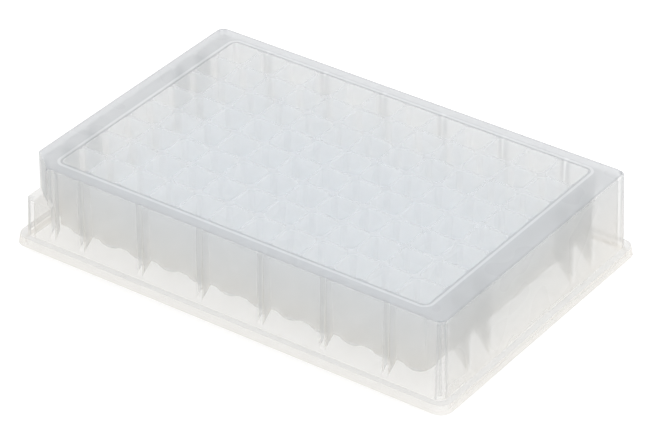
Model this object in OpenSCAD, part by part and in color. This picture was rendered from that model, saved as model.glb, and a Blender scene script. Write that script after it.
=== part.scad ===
// 96-well plate with square, round-bottomed wells
//
// A one-piece moulding in natural polypropylene. A thin skirt with a foot flange
// hangs from a flat deck. The wells hang from the same deck as one block: they
// share their dividing walls and end in separate round bottoms. Thin ribs tie the
// block to the skirt. One upper corner is cut off, beside the first well.
//
// The origin is the centre of the underside, on the surface that the plate stands
// on. +X runs along the long side, +Y along the short side and +Z up. Millimetres.

/* [Plate] */
// Length over the foot flange
plate_length = 127.76; // [100:0.01:160]
// Width over the foot flange
plate_width = 85.48; // [68:0.01:110]
// Height from the foot to the deck's top face
plate_height = 23.5; // [18:0.1:44]

/* [Foot flange] */
// Height of the flange round the foot
flange_height = 2.4; // [1.8:0.1:4]
// How far the flange leans in from its foot to its top edge
flange_lean = 0.3; // [0.1:0.05:0.6]
// Radius of the flange's four corners
flange_radius = 3.4; // [2.6:0.1:4.8]
// Width of the rim that the plate stands on
foot_width = 1.3; // [1:0.1:1.7]

/* [Skirt and deck] */
// How far the skirt stands in from the flange's foot
skirt_inset = 2.0; // [1.5:0.1:2.8]
// How far the skirt leans in from its foot to the deck
skirt_lean = 0.6; // [0.2:0.05:0.9]
// Thickness of the skirt, and of the flange's top
skirt_wall = 1.2; // [1:0.1:1.6]
// Radius of the skirt's upright corners
skirt_radius = 2.2; // [1.8:0.1:3]
// Thickness of the deck between the skirt and the wells
deck_thickness = 1.2; // [0.9:0.1:2]
// Width of the small bevel round the deck's outer edge
deck_bevel = 0.35; // [0.2:0.05:0.6]

/* [Cut corner] */
// How much of the long side the cut takes off
cut_along_length = 7.4; // [5:0.1:9]
// How much of the short side the cut takes off
cut_along_width = 5.6; // [4:0.1:7]
// Height of the ledge where the cut ends
ledge_height = 12.5; // [8:0.1:15]

/* [Wells] */
// Distance from one well's centre to the next
well_pitch = 9; // [7.5:0.05:11]
// Thickness of the walls between wells at the deck
well_divider = 0.7; // [0.5:0.05:1]
// How far each well's wall leans in from the deck to where its corners slope in
well_lean = 0.2; // [0.1:0.05:0.35]
// Radius of a well's upright corners at the deck
well_corner = 1.5; // [1.2:0.1:2]
// Height of a well's lowest inside point above the foot
well_floor = 3; // [2.5:0.1:5]
// Thickness of the round bottoms
well_bottom = 1; // [0.6:0.05:1.2]
// Height over which a well's corners slope in to its round bottom
well_funnel = 2; // [1.5:0.1:3]
// How far the webs between the round bottoms lie above their lowest points
web_rise = 3.4; // [3:0.1:4]
// Thickness of the outermost wells' walls at the deck
block_wall = 1.0; // [0.6:0.1:1.6]
// Least distance from the plate's edge to the wells' block
well_margin = 6.5; // [6.2:0.1:7]

/* [Ribs] */
// Thickness of the ribs along the long sides
long_rib = 1.7; // [1:0.1:2.2]
// Height of those ribs' lower corner at the wells
long_rib_rise = 5.5; // [4:0.1:8]
// Thickness of the ribs along the short sides
short_rib = 1.7; // [1:0.1:2.2]
// Height of those ribs' lower corner at the wells
short_rib_rise = 11; // [6:0.1:13]
// How far the low rib beside the cut corner stands in from the skirt
corner_rib_depth = 1.5; // [1:0.1:3]

/* [Hidden] */
$fn = 48;
// Overlap of a cut past the face that it opens
past = 1;
// How far the bevel's foot stands in from the skirt below it, so that no edges nearly coincide
bevel_step = 0.02;

// As many columns and rows of wells as the plate's size holds
columns = floor((plate_length - 2 * well_margin) / well_pitch);
rows = floor((plate_width - 2 * well_margin) / well_pitch);

// The wells' openings, and their half width where the corners start to slope in
well_opening = well_pitch - well_divider;
shaft_foot = well_opening / 2 - well_lean;
// The round bottoms: a little narrower than the shafts, so that the two never just touch
bowl_ease = 0.05;
bowl_radius = shaft_foot - bowl_ease;
bowl_centre = well_floor + bowl_radius;
// Half width of the square inside a bowl's rim, where the sloping corners end
throat = (bowl_radius - 2 * bowl_ease) / sqrt(2);
// The webs between the round bottoms, and the space under the deck
web_foot = well_floor - well_bottom + web_rise;
deck_underside = plate_height - deck_thickness;

// Plan sizes of the plate and of the wells' block
foot_size = [plate_length, plate_width];
block_size = [columns, rows] * well_pitch;

// Where a rib's root lies within the skirt's thickness, at every height
rib_root = skirt_inset + (skirt_lean + skirt_wall) / 2;
// How far a rib reaches into the wells' block
rib_bite = 0.5;

// The foot's outline moved in by a distance
function inset(distance) = foot_size - [2, 2] * distance;

// Position of the boundary below well number i, along a row or column of n wells
function boundary(i, n) = (i - n / 2) * well_pitch;

// A rectangle with round corners
module rounded_outline(size, radius) {
    square([size.x - 2 * radius, size.y], center = true);
    square([size.x, size.y - 2 * radius], center = true);
    for (x = [-1, 1], y = [-1, 1])
        translate([x * (size.x / 2 - radius), y * (size.y / 2 - radius)])
            circle(radius);
}

// A rounded block whose sides lean in evenly towards its top
module leaning_block(size, radius, height, lean) {
    top = size - [2, 2] * lean;
    linear_extrude(height, scale = [top.x / size.x, top.y / size.y], slices = 1)
        rounded_outline(size, radius);
}

// Everything beyond the cut corner's face moved in by a distance, upwards from a height
module beyond_cut(distance, height) {
    corner = -inset(skirt_inset + skirt_lean) / 2;
    middle = corner + [cut_along_length, cut_along_width] / 2;
    reach = cut_along_length + cut_along_width;
    translate([middle.x, middle.y, height])
        rotate(-atan2(cut_along_width, cut_along_length))
            translate([-reach, distance - reach, 0])
                cube([2 * reach, reach, plate_height]);
}

// The skirt and deck as a solid block, with the bevelled edge and the cut corner
module skirt_form() {
    straight = plate_height - flange_height - deck_bevel;
    bevel_foot = inset(skirt_inset + skirt_lean + bevel_step);
    difference() {
        translate([0, 0, flange_height]) {
            leaning_block(inset(skirt_inset), skirt_radius, straight, skirt_lean);
            translate([0, 0, straight])
                leaning_block(bevel_foot, skirt_radius, deck_bevel, deck_bevel);
        }
        beyond_cut(0, ledge_height);
    }
}

// The space under the deck, which follows the skirt and the cut corner at one wall's distance
module skirt_space() {
    foot = inset(skirt_inset + skirt_wall);
    difference() {
        leaning_block(foot, skirt_radius - skirt_wall / 2, deck_underside, skirt_lean);
        beyond_cut(skirt_wall, ledge_height - skirt_wall);
    }
    // The wider space inside the foot flange
    translate([0, 0, -past])
        linear_extrude(flange_height - skirt_wall + past)
            rounded_outline(inset(foot_width), flange_radius - foot_width / 2);
}

// The empty shell: foot flange, skirt and deck
module shell() {
    difference() {
        union() {
            leaning_block(foot_size, flange_radius, flange_height, flange_lean);
            skirt_form();
        }
        skirt_space();
    }
}

// Side view of the block that n wells share, which leans out from its webs to the deck
module block_profile(n) {
    foot = n * well_pitch / 2;
    top = foot - well_divider / 2 + block_wall;
    polygon([
        [-foot, 0], [-foot, web_foot], [-top, plate_height],
        [top, plate_height], [foot, web_foot], [foot, 0]
    ]);
}

// Side view of n wells' square shafts, which widen from the bowls' rims up to the deck
module shaft_profile(n) {
    half = well_opening / 2;
    for (i = [0.5 : n])
        translate([boundary(i, n), 0])
            polygon([
                [-throat, bowl_centre], [-shaft_foot, bowl_centre + well_funnel],
                [-half, plate_height], [-half, plate_height + past],
                [half, plate_height + past], [half, plate_height],
                [shaft_foot, bowl_centre + well_funnel], [throat, bowl_centre]
            ]);
}

// What two side views share: the first seen along Y and the second along X
module crossed(depth) {
    intersection() {
        rotate([90, 0, 0])
            linear_extrude(depth, center = true)
                children(0);
        rotate([90, 0, 90])
            linear_extrude(depth, center = true)
                children(1);
    }
}

// A ball at each well, centred where the round bottom begins
module balls(radius) {
    for (j = [0.5 : rows])
        for (i = [0.5 : columns])
            translate([boundary(i, columns), boundary(j, rows), bowl_centre])
                sphere(radius);
}

// The wells' block, solid: webs and walls, with one round bottom under each well
module well_block() {
    intersection() {
        crossed(plate_length + plate_width) {
            block_profile(columns);
            block_profile(rows);
        }
        union() {
            translate([-plate_length / 2, -plate_width / 2, web_foot])
                cube([plate_length, plate_width, plate_height]);
            balls(bowl_radius + well_bottom);
        }
    }
}

// The wells' square shafts, with upright round corners
module well_shafts() {
    intersection() {
        crossed(plate_length + plate_width) {
            shaft_profile(columns);
            shaft_profile(rows);
        }
        linear_extrude(plate_height + past)
            for (i = [0.5 : columns], j = [0.5 : rows])
                translate([boundary(i, columns), boundary(j, rows)])
                    rounded_outline([well_opening, well_opening], well_corner);
    }
}

// One rib, from the skirt at x = 0 to the wells at x = length, under the deck
module rib(length, thickness, rise) {
    rotate([90, 0, 0])
        linear_extrude(thickness, center = true)
            polygon([
                [0, flange_height], [0, deck_underside + deck_thickness / 2],
                [length, deck_underside + deck_thickness / 2], [length, rise]
            ]);
}

// The ribs along both long sides, at every second column boundary, and a low one at the cut corner
module long_side_ribs() {
    length = (plate_width - block_size.y) / 2 - rib_root + rib_bite;
    edge = plate_width / 2 - rib_root;
    for (i = [1 : 2 : columns - 1], side = [-1, 1])
        translate([boundary(i, columns), side * edge])
            rotate(-90 * side)
                rib(length, long_rib, long_rib_rise);
    corner_length = skirt_inset + skirt_lean + skirt_wall + corner_rib_depth - rib_root;
    translate([boundary(0, columns), -edge])
        rotate(90)
            rib(corner_length, long_rib, flange_height + corner_length);
}

// The ribs along both short sides: two towards each end
module short_side_ribs() {
    length = (plate_length - block_size.x) / 2 - rib_root + rib_bite;
    edge = plate_length / 2 - rib_root;
    for (j = [1, 2, rows - 2, rows - 1], side = [-1, 1])
        translate([side * edge, boundary(j, rows)])
            rotate(90 + 90 * side)
                rib(length, short_rib, short_rib_rise);
}

// The whole moulding
module well_plate() {
    color([0.88, 0.89, 0.9])
        difference() {
            union() {
                shell();
                well_block();
                long_side_ribs();
                short_side_ribs();
            }
            well_shafts();
            balls(bowl_radius);
        }
}

well_plate();
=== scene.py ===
import bpy
import math
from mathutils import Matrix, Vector


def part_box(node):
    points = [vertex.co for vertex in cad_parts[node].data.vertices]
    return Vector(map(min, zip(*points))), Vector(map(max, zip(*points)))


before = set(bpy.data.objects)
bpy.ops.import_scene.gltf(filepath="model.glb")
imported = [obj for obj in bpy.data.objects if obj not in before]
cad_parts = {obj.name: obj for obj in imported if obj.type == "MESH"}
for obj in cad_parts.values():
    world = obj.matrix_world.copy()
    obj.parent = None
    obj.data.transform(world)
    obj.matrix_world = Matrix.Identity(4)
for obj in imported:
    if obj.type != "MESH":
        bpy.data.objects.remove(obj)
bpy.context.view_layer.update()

# --- The plate ---------------------------------------------------------------
# One injection moulding in natural polypropylene, milky and half clear, with
# smooth walls about a millimetre thick. Nothing is fixed to it.

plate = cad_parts["well_plate"]
plate_low, plate_high = (Vector(corner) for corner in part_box("well_plate"))
plate_middle = (plate_low + plate_high) / 2

# The wells: twelve columns by eight rows
COLUMNS, ROWS = 12, 8
WELL_PITCH = 0.009
WELL_DIVIDER = 0.0007
WELL_CORNER = 0.0015
# Thickness of the walls round the outside of the wells, at the deck
OUTER_WALL = 0.001
# Height of the webs that join the wells' round bottoms
WEB_HEIGHT = 0.0054

# The foot flange, the skirt that stands in from it, and the deck with its bevelled edge
FLANGE_HEIGHT = 0.0024
SKIRT_INSET = 0.002
SKIRT_LEAN = 0.0006
SKIRT_CORNER = 0.0022
DECK_THICKNESS = 0.0012
DECK_BEVEL = 0.00035
DECK_CORNER = 0.0021
# Width of the painted dark lines of shade along the plastic's sharp edges
EDGE_LINE = 0.00042

# How milky each part of the plate looks face on, from 0 for clear to 1
WELL_HAZE = 0.28
OUTER_WALL_HAZE = 0.45
SKIRT_FOOT_HAZE = 0.12
SKIRT_TOP_HAZE = 0.22
DECK_HAZE = 0.55
EDGE_HAZE = 0.65
# What is added where the skirt is seen edge on, at its upright corners and on the ribs
EDGE_ON_HAZE = 0.55
CORNER_HAZE = 0.25
RIB_HAZE = 0.2

# Painted light and shade: the wells are painted lighter, for the light that falls into them from above,
# and the skirt darker, for the little light on its face; the skirt is warmer low down, darker towards the
# deck
WELL_COLOUR = (0.962, 0.98, 0.998, 1)
SKIRT_TOP_COLOUR = (0.81, 0.82, 0.825, 1)
SKIRT_FOOT_COLOUR = (0.86, 0.825, 0.765, 1)
# Painted shade on the ribs, whose thicker plastic lets less light through
RIB_SHADE_COLOUR = (0.70, 0.71, 0.71, 1)
# Painted shade on the faces that look up: the deck, the tops of the walls between wells, the flange's top
DECK_SHADE_COLOUR = (0.645, 0.665, 0.70, 1)
# A painted highlight on the band round the wells
STRIP_HIGHLIGHT_COLOUR = (0.85, 0.87, 0.90, 1)
# Painted shade for the dark lines along the edges and down the skirt's corners
EDGE_SHADE_COLOUR = (0.51, 0.53, 0.56, 1)
# How much of the deck's painted shade the walls between wells and the flange's top take, and how much of
# the edges' painted shade the skirt's upright corners take
DIVIDER_TOP_SHADE = 0.35
FLANGE_TOP_SHADE = 0.7
CORNER_SHADE = 0.5
# Smoothest and roughest that the mould's polish leaves the skin, and how fine its patches are
SKIN_ROUGHNESS = (0.22, 0.36)
POLISH_FINENESS = 120.0
SKIN_RELIEF = 0.0001
# By how far up its normal points, a face comes to count as level over the first of these ranges,
# and stops counting as upright over the second
LEVEL = (0.8, 0.95)
UPRIGHT = (0.1, 0.3)


class Shading:
    """Adds nodes to one material or group, and joins them as it goes."""

    def __init__(self, tree):
        self.tree = tree

    def add(self, kind, inputs=(), **settings):
        node = self.tree.nodes.new("ShaderNode" + kind)
        for name, value in settings.items():
            setattr(node, name, value)
        for name, value in dict(inputs).items():
            self.feed(node.inputs[name], value)
        return node

    def feed(self, socket, value):
        if isinstance(value, bpy.types.NodeSocket):
            self.tree.links.new(value, socket)
        else:
            socket.default_value = value

    def math(self, operation, first, second=0.5):
        return self.add("Math", {0: first, 1: second}, operation=operation).outputs[0]

    def ramp(self, value, start, end, low=0.0, high=1.0):
        spread = {"Value": value, "From Min": start, "From Max": end, "To Min": low, "To Max": high}
        return self.add("MapRange", spread).outputs["Result"]

    def blend(self, first, second, factor):
        """A colour from the first to the second, by the factor."""
        mix = self.add("Mix", data_type="RGBA")
        self.feed(mix.inputs["Factor"], factor)
        self.feed(mix.inputs["A"], first)
        self.feed(mix.inputs["B"], second)
        return mix.outputs["Result"]

    def mix(self, first, second, factor):
        """A number from the first to the second, by the factor."""
        inputs = {"Factor": factor, "A": first, "B": second}
        return self.add("Mix", inputs, data_type="FLOAT").outputs["Result"]

    def between(self, value, start, end):
        """1 where the value lies from start to end, with a soft step at both."""
        soft = EDGE_LINE / 4
        inside = self.ramp(value, start - soft, start + soft)
        return self.math("MULTIPLY", inside, self.ramp(value, end - soft, end + soft, 1.0, 0.0))


def plate_zones():
    """A group that says where on the plate a point lies: one mask for each zone."""
    tree = bpy.data.node_groups.new("plate_zones", "ShaderNodeTree")
    masks = ("Outside", "Outer Wall", "Skirt", "Rib", "Deck", "Strip", "Edge", "Corner")
    for name in masks:
        tree.interface.new_socket(name, in_out="OUTPUT", socket_type="NodeSocketFloat")
    shade = Shading(tree)
    place = shade.add("SeparateXYZ", {0: shade.add("TexCoord").outputs["Object"]})
    facing_up = shade.add("SeparateXYZ", {0: shade.add("NewGeometry").outputs["Normal"]}).outputs["Z"]
    across = shade.math("ABSOLUTE", place.outputs["X"])
    along = shade.math("ABSOLUTE", place.outputs["Y"])
    height = place.outputs["Z"]

    def past(half_x, half_y, corner):
        """How far a point lies outside a rectangle with round corners, round the plate's middle."""
        past_x = shade.math("MAXIMUM", shade.math("SUBTRACT", across, half_x - corner), 0)
        past_y = shade.math("MAXIMUM", shade.math("SUBTRACT", along, half_y - corner), 0)
        square = shade.math("ADD", shade.math("POWER", past_x, 2), shade.math("POWER", past_y, 2))
        return shade.math("SUBTRACT", shade.math("SQRT", square), corner)

    # How far a point lies past all the wells' openings, past the deck's flat and round a corner
    openings_x = (COLUMNS * WELL_PITCH - WELL_DIVIDER) / 2
    openings_y = (ROWS * WELL_PITCH - WELL_DIVIDER) / 2
    past_openings = past(openings_x, openings_y, WELL_CORNER)
    deck_inset = SKIRT_INSET + SKIRT_LEAN + DECK_BEVEL
    past_deck = past(plate_high.x - deck_inset, plate_high.y - deck_inset, DECK_CORNER)
    corner_inset = SKIRT_INSET + SKIRT_CORNER
    past_corner = shade.math(
        "MINIMUM",
        shade.math("SUBTRACT", across, plate_high.x - corner_inset),
        shade.math("SUBTRACT", along, plate_high.y - corner_inset),
    )

    # The faces that look up, which take painted shade: the flange's, and the deck's with the tops of the
    # walls between wells
    level = shade.ramp(facing_up, *LEVEL)
    near_flange = shade.between(height, FLANGE_HEIGHT - EDGE_LINE, FLANGE_HEIGHT + EDGE_LINE)
    flange_top = shade.math("MULTIPLY", level, near_flange)
    deck_foot = plate_high.z - DECK_THICKNESS
    in_deck = shade.ramp(height, deck_foot, deck_foot + DECK_THICKNESS * 0.2)
    top_face = shade.math("MULTIPLY", level, in_deck)
    deck_and_dividers = shade.ramp(past_openings, -EDGE_LINE, 0, DIVIDER_TOP_SHADE, 1)

    # Outside the wells' openings, and low down, where the round bottoms stand clear of each other
    outer_wall = shade.ramp(past_openings, 0, OUTER_WALL * 0.3)
    under_webs = shade.ramp(height, WEB_HEIGHT * 0.4, WEB_HEIGHT, 1.0, 0.0)
    round_bottoms = shade.ramp(height, WEB_HEIGHT, WEB_HEIGHT * 1.2, 1.0, 0.0)

    # The ribs: upright faces between the wells and the skirt, painted darker as shade
    upright = shade.ramp(shade.math("ABSOLUTE", facing_up), *UPRIGHT, 1.0, 0.0)
    clear_of_wells = shade.ramp(past_openings, OUTER_WALL * 1.5, OUTER_WALL * 1.8)
    inside_skirt = shade.ramp(past_deck, -OUTER_WALL * 1.2, -OUTER_WALL, 1.0, 0.0)

    # The painted dark lines of shade round the openings and the deck, and down the skirt's corners
    inner_line = shade.math("MULTIPLY", top_face, shade.between(past_openings, 0, EDGE_LINE * 1.2))
    outer_line = shade.math("MULTIPLY", in_deck, shade.between(past_deck, -EDGE_LINE, 0))
    above_flange = shade.ramp(height, FLANGE_HEIGHT, FLANGE_HEIGHT + EDGE_LINE)
    corner_line = shade.between(past_corner, 0, EDGE_LINE * 1.5)

    # The strip is a painted highlight: the paler band round the wells, over their outer walls
    results = {
        "Outside": shade.math("MAXIMUM", outer_wall, under_webs),
        "Outer Wall": shade.math("MAXIMUM", outer_wall, round_bottoms),
        "Skirt": shade.ramp(past_openings, OUTER_WALL * 1.2, OUTER_WALL * 2),
        "Rib": shade.math("MULTIPLY", upright, shade.math("MULTIPLY", clear_of_wells, inside_skirt)),
        "Deck": shade.math(
            "MAXIMUM",
            shade.math("MULTIPLY", flange_top, FLANGE_TOP_SHADE),
            shade.math("MULTIPLY", top_face, deck_and_dividers),
        ),
        "Strip": shade.math("MULTIPLY", top_face, shade.between(past_openings, EDGE_LINE, OUTER_WALL * 1.3)),
        "Edge": shade.math("MAXIMUM", inner_line, outer_line),
        "Corner": shade.math("MULTIPLY", above_flange, corner_line),
    }
    out = tree.nodes.new("NodeGroupOutput")
    for name in masks:
        tree.links.new(results[name], out.inputs[name])
    return tree


def painted_plate_colour(shade, zones, rise):
    """Painted light and shade in the plate's colour: cool in the wells, warmer low on the skirt, darker on
    edges.
    """
    skirt_colour = shade.blend(SKIRT_FOOT_COLOUR, SKIRT_TOP_COLOUR, rise)
    colour = shade.blend(WELL_COLOUR, skirt_colour, zones["Outside"])
    colour = shade.blend(colour, RIB_SHADE_COLOUR, zones["Rib"])
    colour = shade.blend(colour, DECK_SHADE_COLOUR, zones["Deck"])
    colour = shade.blend(colour, STRIP_HIGHLIGHT_COLOUR, zones["Strip"])
    # Painted dark lines of shade along the edges, and less strongly down the skirt's corners
    colour = shade.blend(colour, EDGE_SHADE_COLOUR, zones["Edge"])
    return shade.blend(colour, EDGE_SHADE_COLOUR, shade.math("MULTIPLY", zones["Corner"], CORNER_SHADE))


def plate_haze(shade, zones, rise):
    """How milky the plastic is: a skirt seen edge on is milkier than one seen face on."""
    edge_on = shade.math("POWER", shade.add("LayerWeight", {"Blend": 0.5}).outputs["Facing"], 2.0)
    skirt_haze = shade.ramp(rise, 0, 1, SKIRT_FOOT_HAZE, SKIRT_TOP_HAZE)
    skirt_haze = shade.math("ADD", skirt_haze, shade.math("MULTIPLY", edge_on, EDGE_ON_HAZE))
    well_haze = shade.ramp(zones["Outer Wall"], 0, 1, WELL_HAZE, OUTER_WALL_HAZE)
    haze = shade.mix(well_haze, skirt_haze, zones["Skirt"])
    haze = shade.math("MAXIMUM", haze, shade.math("MULTIPLY", zones["Deck"], DECK_HAZE))
    haze = shade.math("MAXIMUM", haze, shade.math("MULTIPLY", zones["Edge"], EDGE_HAZE))
    haze = shade.math("ADD", haze, shade.math("MULTIPLY", zones["Corner"], CORNER_HAZE))
    return shade.math("ADD", haze, shade.math("MULTIPLY", zones["Rib"], RIB_HAZE))


def natural_polypropylene():
    material = bpy.data.materials.new("natural_polypropylene")
    material.use_nodes = True
    material.node_tree.nodes.clear()
    shade = Shading(material.node_tree)

    zones = shade.add("Group", node_tree=plate_zones()).outputs
    place = shade.add("TexCoord").outputs["Object"]
    height = shade.add("SeparateXYZ", {0: place}).outputs["Z"]
    rise = shade.ramp(height, plate_low.z, plate_high.z)
    colour = painted_plate_colour(shade, zones, rise)

    # The mould's polish varies a little from place to place
    patches = {"Vector": place, "Scale": POLISH_FINENESS, "Detail": 0.0}
    polish = shade.add("TexNoise", patches).outputs["Fac"]
    roughness = shade.ramp(polish, 0, 1, *SKIN_ROUGHNESS)
    relief = {"Height": polish, "Strength": 0.06, "Distance": SKIN_RELIEF}
    skin = shade.add("Bump", relief).outputs["Normal"]

    # Half of what isn't clear is a glossy skin, and half lets light glow through
    surface = {"Base Color": colour, "Roughness": roughness, "Normal": skin, "IOR": 1.49}
    gloss = shade.add("BsdfPrincipled", surface).outputs["BSDF"]
    glow = shade.add("BsdfTranslucent", {"Color": colour}).outputs["BSDF"]
    milk = shade.add("MixShader", {0: 0.5, 1: gloss, 2: glow}).outputs["Shader"]
    clear = shade.add("BsdfTransparent").outputs["BSDF"]
    haze = plate_haze(shade, zones, rise)
    plastic = shade.add("MixShader", {0: haze, 1: clear, 2: milk}).outputs["Shader"]
    shade.add("OutputMaterial", {"Surface": plastic})
    return material


plate.data.materials.clear()
plate.data.materials.append(natural_polypropylene())

# --- The floor and the light ---------------------------------------------------
# A white table under a wide soft light, in a white room. The table carries on
# past the view.

TABLE_SIZE = 6
TABLE_GAP = 0.0002
TABLE_COLOUR = (0.85, 0.85, 0.85, 1)
TABLE_GLOW = 0.33
ROOM_BRIGHTNESS = 0.865

bpy.ops.mesh.primitive_plane_add(size=TABLE_SIZE, location=(0, 0, plate_low.z - TABLE_GAP))
table = bpy.context.object
table.name = "white_table"


def white_table_top():
    """White, and a little brighter to the eye than the light that it gives back."""
    material = bpy.data.materials.new("white_table_top")
    material.use_nodes = True
    material.node_tree.nodes.clear()
    shade = Shading(material.node_tree)
    white = shade.add("BsdfDiffuse", {"Color": TABLE_COLOUR}).outputs["BSDF"]
    glow = shade.add("Emission", {"Color": (1, 1, 1, 1), "Strength": TABLE_GLOW}).outputs["Emission"]
    both = shade.add("AddShader", {0: white, 1: glow}).outputs["Shader"]
    rays = shade.add("LightPath").outputs
    seen = shade.math("MAXIMUM", rays["Is Camera Ray"], rays["Is Transmission Ray"])
    top = shade.add("MixShader", {0: seen, 1: white, 2: both}).outputs["Shader"]
    shade.add("OutputMaterial", {"Surface": top})
    return material


table.data.materials.append(white_table_top())

room = bpy.data.worlds.new("white_room")
bpy.context.scene.world = room
room.use_nodes = True
room_light = room.node_tree.nodes["Background"].inputs
room_light["Color"].default_value = (1, 1, 1, 1)
room_light["Strength"].default_value = ROOM_BRIGHTNESS


def soft_light(name, place, size, power):
    light = bpy.data.lights.new(name, "AREA")
    light.shape = "SQUARE"
    light.size = size
    light.energy = power
    lamp = bpy.data.objects.new(name, light)
    bpy.context.collection.objects.link(lamp)
    lamp.location = place
    lamp.rotation_euler = (plate_middle - Vector(place)).to_track_quat("-Z", "Y").to_euler()


soft_light("overhead_light", place=(0.3, 0.5, 1.4), size=1.2, power=2.7)

# --- The camera ------------------------------------------------------------------
# It looks down on the plate from its front right corner, from nearly a metre away.

CAMERA_AZIMUTH = math.radians(-54.66)
CAMERA_ELEVATION = math.radians(32.48)
CAMERA_DISTANCE = 0.8738
aim = Vector((0, 0, 0.015))

camera_data = bpy.data.cameras.new("camera")
camera_data.sensor_width = 36
camera_data.lens = 198.4
camera_data.shift_y = -0.0415
camera = bpy.data.objects.new("camera", camera_data)
bpy.context.collection.objects.link(camera)
outward = Vector((
    math.cos(CAMERA_ELEVATION) * math.cos(CAMERA_AZIMUTH),
    math.cos(CAMERA_ELEVATION) * math.sin(CAMERA_AZIMUTH),
    math.sin(CAMERA_ELEVATION),
))
camera.location = aim + CAMERA_DISTANCE * outward
camera.rotation_euler = (-outward).to_track_quat("-Z", "Y").to_euler()
bpy.context.scene.camera = camera
bpy.context.scene.view_settings.view_transform = "Standard"

# Light has to pass many thin walls before it comes out again.
light_paths = bpy.context.scene.cycles
light_paths.max_bounces = 12
light_paths.diffuse_bounces = 12
light_paths.transparent_max_bounces = 48
